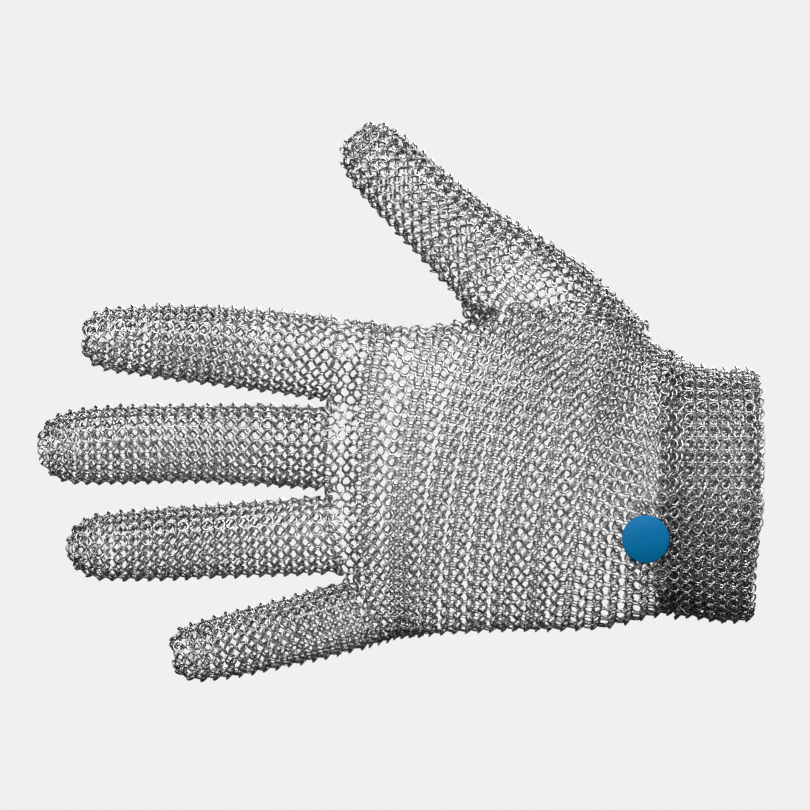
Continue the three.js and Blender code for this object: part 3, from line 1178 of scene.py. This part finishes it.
@dataclass
class DigitWeave:
    """The lattice of a finger or the thumb.

    Attributes:
        digit: the finger.
        skin: the faces of its sleeve.
        spots: the places felt round it.
        fine: the way between the outlines that are felt along it.
        overlap: how far past its root the sleeve's solid is whole.
        least_clear: how many places with a wall make an outline.
        soften: how far the facets are smoothed, as smooth_line's reach.
        tip_share: the share of its length past which its rows are measured on the skin.
        seam_gap: how much of half a column an open row leaves free at its seam.
    """

    digit: Digit
    skin: Skin
    spots: int = 72
    fine: float = 0.5
    overlap: float = 1.2
    least_clear: int = 5
    soften: float = 1.6
    tip_share: float = 0.6
    seam_gap: float = 0.75

    def outlines(self, begin: float) -> tuple[np.ndarray, np.ndarray, np.ndarray]:
        """Feels the sleeve along its whole length.

        Args:
            begin: the distance from the root where the feeling starts.

        Returns:
            How far each outline lies along the skin, the outlines at the depth of the rings, and
            for each place whether it was there.
        """
        distances, lines, clears = [], [], []
        for distance in np.arange(begin, self.digit.length, self.fine):
            line, clear = mend_line(self.digit.outline(self.skin, float(distance), self.spots))
            if clear.sum() < self.least_clear:
                if distance > 0:
                    break
                continue
            _, forward = self.digit.axis(float(distance))
            line = smooth_line(line[:-1], self.soften, closed=True)
            ring = np.concatenate([line[-1:], line, line[:2]])
            line = sunk(ring, DEPTH, forward)[1:-1]
            distances.append(float(distance))
            lines.append(line)
            clears.append(widened(clear, 1))
        stack = np.array(lines)
        hops = np.linalg.norm(np.diff(stack, axis=0), axis=2).mean(1)
        tip = np.array(distances[1:]) > self.tip_share * self.digit.length
        hops = np.where(tip, hops, np.diff(distances))
        travel = distances[0] + np.concatenate([[0.0], np.cumsum(hops)])
        return travel, stack, np.array(clears)

    def lattice(self, first: int, begin: float, phase: float) -> dict[int, Row]:
        """Lays the rows.

        Args:
            first: the number of the first row.
            begin: that row's distance from the root.
            phase: the column at the middle of the front.

        Returns:
            The rows by their numbers.
        """
        digit = self.digit
        whole = begin if digit.foot else self.overlap
        travel, stack, clears = self.outlines(whole)
        _, forward = digit.axis(0.0)
        front = round(self.spots * (360.0 - digit.seam) / 360.0)
        rows: dict[int, Row] = {}
        reach, number = begin, first
        while reach < travel[-1]:
            if reach < travel[0]:
                line, clear = stack[0] + forward * (reach - travel[0]), clears[0]
            else:
                spot = float(np.interp(reach, travel, np.arange(len(travel))))
                low = min(int(spot), len(travel) - 2)
                share = spot - low
                line = stack[low] * (1 - share) + stack[low + 1] * share
                clear = clears[low] & clears[low + 1]
            row = Row(line, clear, 0.0, 1.0).start_at(front)
            girth = float(row.along[-1] - row.along[0])
            step = girth / digit.columns if digit.columns else 0.0
            if step >= digit.least:
                row.turns, row.step = girth, step
                row.last = row.first + girth - 1e-3
            else:
                row.step = digit.least if digit.columns else self.varied_step(reach)
                row.last -= row.step * self.seam_gap
            row.origin = -phase * row.step
            rows[number] = row
            reach += digit.pitch
            number += 1
        return rows

    def varied_step(self, reach: float) -> float:
        """Half a column at a distance from the root, where the columns' number varies."""
        digit = self.digit
        return digit.step + (digit.least - digit.step) * ease(reach, 0.0, digit.length)


@dataclass
class CuffWeave:
    """The doubled cuff, whose one sheet of mail goes out inside and comes back outside.

    Attributes:
        seam: the x of the wrist seam.
        length: from the wrist seam to the mouth.
        bow: how fast the mouth draws in above and below its furthest point.
        peak: the height of that point.
        inset: how far the last rows lie inside the two ends.
        layer_rows: the rows of each layer.
        step: half a column.
        inner_depth: how deep the inner layer's rings lie.
        fold: how far the rings at the fold stand out past the last rows.
        gathered: the rows that are bunched together where the outer layer ends at the seam.
        seam_gap: from the seam to the first row.
        bunch_unrest: the unrest of the bunched rows.
        bunch_steep: how much further their rings lean.
        fold_unrest: the unrest of the rows at the fold.
    """

    seam: float = -30.6
    length: float = 30.6
    bow: float = 0.0019
    peak: float = 10.0
    inset: float = 3.2
    layer_rows: int = 15
    step: float = 2.02
    inner_depth: float = 3.1
    fold: float = 0.6
    gathered: int = 5
    seam_gap: float = 0.7
    bunch_unrest: float = 4.0
    bunch_steep: float = 14.0
    fold_unrest: float = 3.0

    def station(self, share: float, z: float) -> float:
        """The x at a share of the cuff's length, at a height."""
        reach = self.length - self.inset - self.bow * (z - self.peak) ** 2
        return self.seam + self.seam_gap + share * (reach - self.seam_gap)

    def course(self, number: int) -> tuple[float, float]:
        """Follows the sheet outwards inside, round the fold and back outside.

        Args:
            number: the row's number.

        Returns:
            The share of the cuff's length where the row lies, and the depth of its rings.
        """
        last, bunch = self.layer_rows - 1, 2 * self.layer_rows
        quarter = (self.inner_depth - DEPTH) / 4
        beyond = 1.0 + self.fold / self.length
        if number < self.layer_rows:
            return number / last, self.inner_depth
        if number == self.layer_rows:
            return beyond, self.inner_depth - quarter
        if number == self.layer_rows + 1:
            return beyond, DEPTH + quarter
        return (bunch + 1 - number + 0.5 * max(number - bunch, 0)) / last, DEPTH

    def lattice(self, tube: BodyTube) -> dict[int, Row]:
        """Lays the inner layer outwards, the fold, and the outer layer back to the wrist.

        Args:
            tube: the cuff's tube.

        Returns:
            The rows by their numbers.
        """
        bunch = 2 * self.layer_rows
        numbers = range(-2, bunch + self.gathered + 1)
        plan = [self.course(number) for number in numbers]
        felt = [min(max(share, 0.0), 1.0) for share, _ in plan]
        lines, clears = tube.grid([lambda z, s=share: self.station(s, z) for share in felt])
        rows: dict[int, Row] = {}
        for k, number in enumerate(numbers):
            share, depth = plan[k]
            row = lay_row(lines[k], clears[k], 0.0, self.step, depth)
            row.line[:, 0] += (share - felt[k]) * self.length
            if number >= bunch:
                row.unrest, row.steep = self.bunch_unrest, self.bunch_steep
            elif abs(number - self.layer_rows) <= 1:
                row.unrest = self.fold_unrest
            rows[number] = row
        return rows


@dataclass
class StrapWeave:
    """The strap of mail that lies over the cuff and ends under the snap.

    Attributes:
        tip: the x of its end.
        finish: the x of its edge at the mouth.
        pitch: the way from row to row.
        step: half a column.
        lift: how far the strap's skin stands over what it lies on.
        slope: how fast its columns climb towards the fingers.
    """

    tip: float = -43.6
    finish: float = -3.2
    pitch: float = 1.85
    step: float = 2.02
    lift: float = 2.5
    slope: float = 0.12

    def lattice(self, base: BodyTube, strap: BodyTube) -> dict[int, Row]:
        """Lays the rows from the mouth to the strap's tip.

        Args:
            base: the tube that the strap lies on.
            strap: the strap's own faces.

        Returns:
            The rows by their numbers.
        """
        count = int((self.finish - self.tip) / self.pitch)
        lines, clears, numbers = [], [], list(range(-1, count + 2))
        for number in numbers:
            x = self.finish - number * self.pitch
            felt = min(max(x, self.tip), self.finish)
            edges = base.edges(felt)
            under, _ = mend_line(base.feel(lambda z, f=felt: f, *edges))
            over = strap.feel(lambda z, f=felt: f, *edges)
            clear = np.isfinite(over[:, 0])
            line = np.where(clear[:, None], over, sunk(under, -self.lift, TOWARDS_TIPS))
            line[:, 0] += x - felt
            lines.append(line)
            clears.append(clear)
        rows: dict[int, Row] = {}
        for number, line, clear in zip(numbers, smooth_grid(np.array(lines)), clears):
            rows[number] = lay_row(line, clear, self.slope * number * self.pitch, self.step)
        return rows


@dataclass
class Snap:
    """The snap's moulded cap.

    Attributes:
        diameter: across the cap.
        height: from its foot to the top of its dome.
        rim: how high the rim's straight side goes.
        rim_round: the radius of the rim's upper edge.
        segments: the faces round it.
        foot: the foot's profile from the middle out, as ways in from the edge and heights.
        rim_cuts: where the rim's rounding has its corners, in degrees.
        flatness: how flat the dome is in its middle.
        dome_rings: the rings of corners from the rim to the middle.
        weld: how near to each other two corners become one.
    """

    diameter: float = 15.0
    height: float = 2.6
    rim: float = 1.0
    rim_round: float = 0.55
    segments: int = 72
    foot: tuple[tuple[float, float], ...] = (
        (7.5, 0.25),
        (1.6, 0.25),
        (1.1, 0.0),
        (0.3, 0.0),
        (0.0, 0.3),
    )
    rim_cuts: tuple[float, ...] = (30.0, 60.0)
    flatness: float = 2.4
    dome_rings: int = 9
    weld: float = 0.001

    def seat(self, solid: bpy.types.Object) -> Matrix:
        """Finds where the cap sits.

        Args:
            solid: its solid.

        Returns:
            Its place and turn.
        """
        points = np.array([vertex.co[:] for vertex in solid.data.vertices]) / METRES
        middle = (points.max(0) + points.min(0)) / 2
        axis = np.linalg.svd(points - points.mean(0))[2][2]
        if axis[1] > 0:
            axis = -axis
        foot = middle + axis * (((points - middle) @ axis).min())
        turn = Vector(axis).to_track_quat("Z", "Y").to_matrix().to_4x4()
        return Matrix.Translation(Vector(foot)) @ turn

    def profile(self) -> list[tuple[float, float]]:
        """The cap's profile from its foot to its top, as radii and heights."""
        radius = self.diameter / 2
        shoulder, top = radius - self.rim_round, self.rim + self.rim_round
        spots = [(radius - inward, height) for inward, height in self.foot]
        spots.append((radius, self.rim))
        for a in (math.radians(angle) for angle in self.rim_cuts):
            out, up = self.rim_round * math.cos(a), self.rim_round * math.sin(a)
            spots.append((shoulder + out, self.rim + up))
        for share in np.linspace(1.0, 0.0, self.dome_rings):
            drop = (self.height - top) * share**self.flatness
            spots.append((shoulder * share, self.height - drop))
        return spots

    def build(self, solid: bpy.types.Object, material: bpy.types.Material) -> None:
        """Spins the cap's profile, and seats it where its solid is.

        Args:
            solid: its solid.
            material: its finish.
        """
        work = bmesh.new()
        verts = [work.verts.new((r, 0.0, z)) for r, z in self.profile()]
        for a, b in zip(verts, verts[1:]):
            work.edges.new((a, b))
        spun(work, work.verts[:] + work.edges[:], self.segments, self.weld)
        seat = Matrix.Scale(METRES, 4) @ self.seat(solid)
        bmesh.ops.transform(work, matrix=seat, verts=work.verts)
        mesh = finished_mesh(work, "snap_button", material)
        for face in mesh.polygons:
            face.use_smooth = True
        piece = placed("snap_button", mesh)
        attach(piece, BODY)
        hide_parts("snap_cap")
        log.info("snap_button: %d faces", len(mesh.polygons))


@dataclass
class Webs:
    """The bunched rings that close the mail between two digits.

    Attributes:
        crotches: the x and z of each column of rings between two fingers.
        half_depth: how far such a column goes to the front and to the back.
        pairs: the pairs of rings in it.
        apart: half the way between the two rings of a pair, in y and in z.
        turned: how far the two turn away from each other, in y and in z.
        fans: the x and z of each fan of rings beside the thumb.
        outside: how far off the search for the skin starts.
        widest: how far from the glove's middle plane a fan may reach.
        usual: how far it reaches where there is no skin.
        shares: where a fan's rings lie, as shares of its reach.
        lean: how far a fan leans along the glove, in turns to either side.
        opening: how far a fan's rings open towards its middle.
        droop: how far they face down.
        slant: how far its rows slant along the glove.
    """

    crotches: tuple[tuple[float, float], ...] = (
        (-136.4, 25.1),
        (-137.0, -2.6),
        (-133.4, -25.6),
        (-128.2, -29.9),
    )
    half_depth: float = 7.0
    pairs: int = 8
    apart: tuple[float, float] = (0.5, 1.3)
    turned: tuple[float, float] = (0.25, 0.4)
    fans: tuple[tuple[float, float], ...] = (
        (-93.4, 55.6),
        (-93.0, 53.2),
        (-91.0, 54.6),
        (-90.4, 52.2),
        (-88.2, 53.8),
        (-87.0, 52.2),
        (-84.8, 53.2),
    )
    outside: float = 40.0
    widest: float = 7.5
    usual: float = 6.0
    shares: tuple[float, ...] = (1.0, 0.62, 0.25)
    lean: float = 0.45
    opening: float = 1.2
    droop: float = 0.25
    slant: float = 0.3

    def between_fingers(self) -> Rings:
        """The rings that close the palm from front to back between two fingers."""
        centres, normals = [], []
        for x, z in self.crotches:
            for y in np.linspace(-self.half_depth, self.half_depth, self.pairs):
                for side in (-1.0, 1.0):
                    centres.append((x, y + self.apart[0] * side, z + self.apart[1] * side))
                    normals.append((-1.0, self.turned[0] * side, self.turned[1] * side))
        across = np.tile([0.0, 1.0, 0.0], (len(centres), 1))
        return Rings(np.array(centres), unit(np.array(normals)), across)

    def beside_thumb(self, skin: Skin) -> Rings:
        """Places the rings that close the web between the thumb and the palm.

        Args:
            skin: the faces of the thumb and the palm.

        Returns:
            The rings.
        """
        centres, normals, across = [], [], []
        for number, (x, z) in enumerate(self.fans):
            lean = self.lean if number % 2 else -self.lean
            for side in (-1.0, 1.0):
                found = skin.touch(np.array([x, self.outside * side, z]), np.array([x, 0.0, z]))
                wall = abs(float(found[1])) if np.isfinite(found[1]) else self.usual
                reach = min(wall, self.widest) - DEPTH
                for share in self.shares:
                    centres.append((x, side * reach * share, z))
                    way = (lean - self.opening * (1.0 - share), side * share, -self.droop)
                    normals.append(way)
                    across.append((self.slant, 0.0, 1.0))
        return Rings(np.array(centres), unit(np.array(normals)), unit(np.array(across)))


class Glove:
    """The whole glove of mail with its snap."""

    def __init__(self, frame: dict) -> None:
        """Keeps the solids and makes the wire.
        """
        self.nodes = frame["nodes"]
        self.palm = PalmWeave()
        self.webs = Webs()
        self.weave = Weave()
        self.maker = MailMaker(WireRing(), SteelFinish("mail_steel").material())
        self.fingers = (
            Digit("index", (-137.6, 0.0, 39.15), 76.5, 27.6, (8.0, 1.0), columns=38),
            Digit("middle", (-139.2, 0.0, 11.05), 88.0, 27.2, (4.0, -4.5), columns=38),
            Digit("ring", (-137.6, 0.0, -16.05), 80.3, 25.6, (-3.5, -2.5), columns=36),
            Digit("little", (-130.1, 0.0, -41.25), 57.3, 23.4, (-16.0, -10.0), columns=32),
        )
        self.thumb = Digit(
            "thumb",
            (-81.4, -2.0, 65.0),
            66.0,
            31.0,
            (38.0, 48.0),
            curl=(6.0, 12.0),
            columns=0,
            start=50.0,
            foot=(-36.0, -2.0, 42.0),
            foot_splay=8.0,
            least=1.9,
            seam=270.0,
        )

    def skin(self, *names: str) -> Skin:
        """The outer faces of some solids."""
        return Skin([self.nodes[name] for name in names])

    def build(self) -> None:
        """Builds and dresses every piece."""
        tube = BodyTube(self.skin("palm_and_back"), first=self.palm.seam - self.palm.whole)
        rows = self.palm.lattice(tube)
        fingers = [self.finger(digit, rows, tube.skin) for digit in self.fingers]
        rings = self.beside(self.weave.rings(rows), Rings.together(fingers))
        rings = Rings.together([rings, self.webs.between_fingers()])
        front = rings.centres[:, 1] < 0
        for side, mask in ((Side.FRONT, front), (Side.BACK, ~front)):
            name, part = f"palm_{side.value}_mail", rings.kept(mask)
            self.maker.piece(name, part, ("palm_and_back",), SEEDS["palm"])
        self.thumb_piece()
        self.cuff_pieces()
        self.strap_piece()
        Snap().build(self.nodes["snap_cap"], PlasticFinish("snap_plastic").material())
        post = self.nodes["snap_post"]
        plated = SteelFinish("post_steel", rough=(0.3, 0.2), relief=0.05).material()
        for place in post.material_slots:
            place.material = plated

    def finger(self, digit: Digit, palm: dict[int, Row], palm_skin: Skin) -> Rings:
        """Builds a finger, whose lattice goes on from the palm's.

        Args:
            digit: the finger.
            palm: the palm's rows.
            palm_skin: the palm's faces.

        Returns:
            The finger's rings.
        """
        x, _, z = digit.root
        first = 0
        while self.palm.station(first, z) > x + digit.start:
            first += 1
        join = palm[first]
        half = len(join.line) // 2
        rise = float(np.interp(z, join.line[half:, 2], join.along[half:]))
        phase = (rise - join.origin) / join.step
        weaver = DigitWeave(digit, self.skin(f"{digit.name}_sleeve"))
        rows = weaver.lattice(first - 1, x - self.palm.station(first - 1, z), phase)
        rings = self.uncovered(self.weave.rings(rows), palm_skin, digit)
        solids, seed = (f"{digit.name}_sleeve",), SEEDS[digit.name]
        self.maker.piece(f"{digit.name}_mail", rings, solids, seed)
        return rings

    def thumb_piece(self) -> None:
        """Builds the thumb's sleeve, which has its own lattice above its seam."""
        weaver = DigitWeave(self.thumb, self.skin("thumb_sleeve"))
        rows = weaver.lattice(0, -self.thumb.start, 0.0)
        web = self.webs.beside_thumb(self.skin("palm_and_back", "thumb_sleeve"))
        rings = Rings.together([self.weave.rings(rows), web])
        self.maker.piece("thumb_mail", rings, ("thumb_sleeve",), SEEDS["thumb"])

    def cuff_pieces(self) -> None:
        """Builds the two layers of the cuff."""
        cuff = CuffWeave()
        rows = cuff.lattice(BodyTube(self.skin("cuff_band")))
        fold = cuff.layer_rows
        inner = {number: row for number, row in rows.items() if number <= fold + 1}
        outer = {number: row for number, row in rows.items() if number >= fold}
        for name, part in (("inner", inner), ("outer", outer)):
            rings = self.weave.rings(part)
            self.maker.piece(f"cuff_{name}_mail", rings, ("cuff_band",), SEEDS[name])

    def strap_piece(self) -> None:
        """Builds the strap."""
        base = BodyTube(self.skin("cuff_band", "palm_and_back"))
        strap = BodyTube(self.skin("closure_strap"))
        rings = self.weave.rings(StrapWeave().lattice(base, strap))
        self.maker.piece("strap_mail", rings, ("closure_strap",), SEEDS["strap"])

    def uncovered(
        self, rings: Rings, palm_skin: Skin, digit: Digit, near: float = 3.0, proud: float = 2.2
    ) -> Rings:
        """Leaves out the rings of a finger that lie inside the palm's solid.

        Args:
            rings: the finger's rings.
            palm_skin: the palm's faces.
            digit: the finger.
            near: how far past the finger's root rings are looked at.
            proud: how far over a ring the palm's solid may stand.

        Returns:
            The other rings.
        """
        _, forward = digit.axis(0.0)
        reach = (rings.centres - np.array(digit.root)) @ forward
        keep = np.ones(len(rings.centres), bool)
        for i in np.nonzero(reach < near)[0]:
            centre, _ = digit.axis(float(reach[i]))
            outward = unit(rings.centres[i] - centre)
            keep[i] = palm_skin.height_over(rings.centres[i], outward) < proud
        return rings.kept(keep)

    def beside(self, rings: Rings, taken: Rings, gap: float = 1.8) -> Rings:
        """Leaves out the rings that lie where others are.

        Args:
            rings: the rings that are looked at.
            taken: the others.
            gap: how near two centres have to be.

        Returns:
            The rings that stay.
        """
        tree = taken.tree()
        far = [tree.find(Vector(centre))[2] > gap for centre in rings.centres]
        return rings.kept(np.array(far))


@dataclass
class PhotoCamera:
    """The photograph's camera: level, square to the palm, and far off.

    Attributes:
        lens: its focal length, in millimetres.
        sensor: across its film, in millimetres.
        view: what the frame takes in at the glove, in metres.
        middle: the x and z that the frame is centred on, in metres.
    """

    lens: float = 600.0
    sensor: float = 36.0
    view: float = 0.2531
    middle: tuple[float, float] = (-0.1128, 0.0244)

    def build(self) -> None:
        """Places the camera and makes it the scene's."""
        data = bpy.data.cameras.new("camera")
        data.lens, data.sensor_width = self.lens, self.sensor
        camera = placed("camera", data)
        x, z = self.middle
        camera.location = (x, -self.view * self.lens / self.sensor, z)
        camera.rotation_euler = (math.pi / 2, 0.0, 0.0)
        bpy.context.scene.camera = camera
        bpy.context.scene.view_settings.view_transform = "Standard"


@dataclass(frozen=True)
class Lamp:
    """A soft round light.

    Attributes:
        name: its name.
        place: where it hangs, in metres.
        size: across it, in metres.
        power: its power, in watts.
    """

    name: str
    place: tuple[float, float, float]
    size: float
    power: float

    def build(self, target: tuple[float, float, float]) -> None:
        """Hangs the light and turns it.

        Args:
            target: the place that it faces.
        """
        data = bpy.data.lights.new(self.name, "AREA")
        data.shape = "DISK"
        data.size = self.size
        data.energy = self.power
        lamp = placed(self.name, data)
        lamp.location = self.place
        aim = Vector(target) - Vector(self.place)
        lamp.rotation_euler = aim.to_track_quat("-Z", "Y").to_euler()


@dataclass
class Studio:
    """A plain pale floor, plain air of the same tone, and soft lights.

    Attributes:
        floor: the floor's height, in metres.
        reach: how far the floor goes on each side, in metres.
        finish: the floor's paper, whose tones the air shares.
        target: the middle of the glove, which the lights face.
        lamps: the lights.
    """

    floor: float = -0.30
    reach: float = 5.0
    finish: StudioFinish = StudioFinish("studio_paper")
    target: tuple[float, float, float] = (-0.11, 0.0, 0.02)
    lamps: tuple[Lamp, ...] = (
        Lamp("key", (-0.4, -0.95, 0.85), 0.8, 41.0),
        Lamp("fill", (0.85, -0.85, 0.3), 0.6, 13.0),
        Lamp("side", (-1.15, -0.8, 0.15), 0.6, 11.0),
        Lamp("rim", (0.1, 0.4, 0.85), 0.4, 5.0),
        Lamp("back", (0.2, 1.0, 0.5), 0.6, 16.0),
    )

    def build(self) -> None:
        """Builds the floor, the lights and the air."""
        work = bmesh.new()
        bmesh.ops.create_grid(work, x_segments=2, y_segments=2, size=self.reach)
        bmesh.ops.translate(work, verts=work.verts, vec=(0, 0, self.floor))
        floor = placed("floor", finished_mesh(work, "floor", self.finish.material()))
        for lamp in self.lamps:
            lamp.build(self.target)
        world = bpy.data.worlds.new("studio_air")
        bpy.context.scene.world = world
        world.use_nodes = True
        background = world.node_tree.nodes["Background"]
        background.inputs["Color"].default_value = (1.0, 1.0, 1.0, 1.0)
        self.finish.seen_or_mirrored(world.node_tree, background.inputs["Strength"])


def main() -> None:
    """Builds the glove and the studio, and notes the sizes."""
    logging.basicConfig(level=logging.INFO, format="%(name)s: %(message)s")
    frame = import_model()
    PhotoCamera().build()
    Studio().build()
    glove = Glove(frame)
    glove.build()
    log.info("all mail: %d triangles", glove.maker.triangles)


if __name__ == "__main__":
    main()
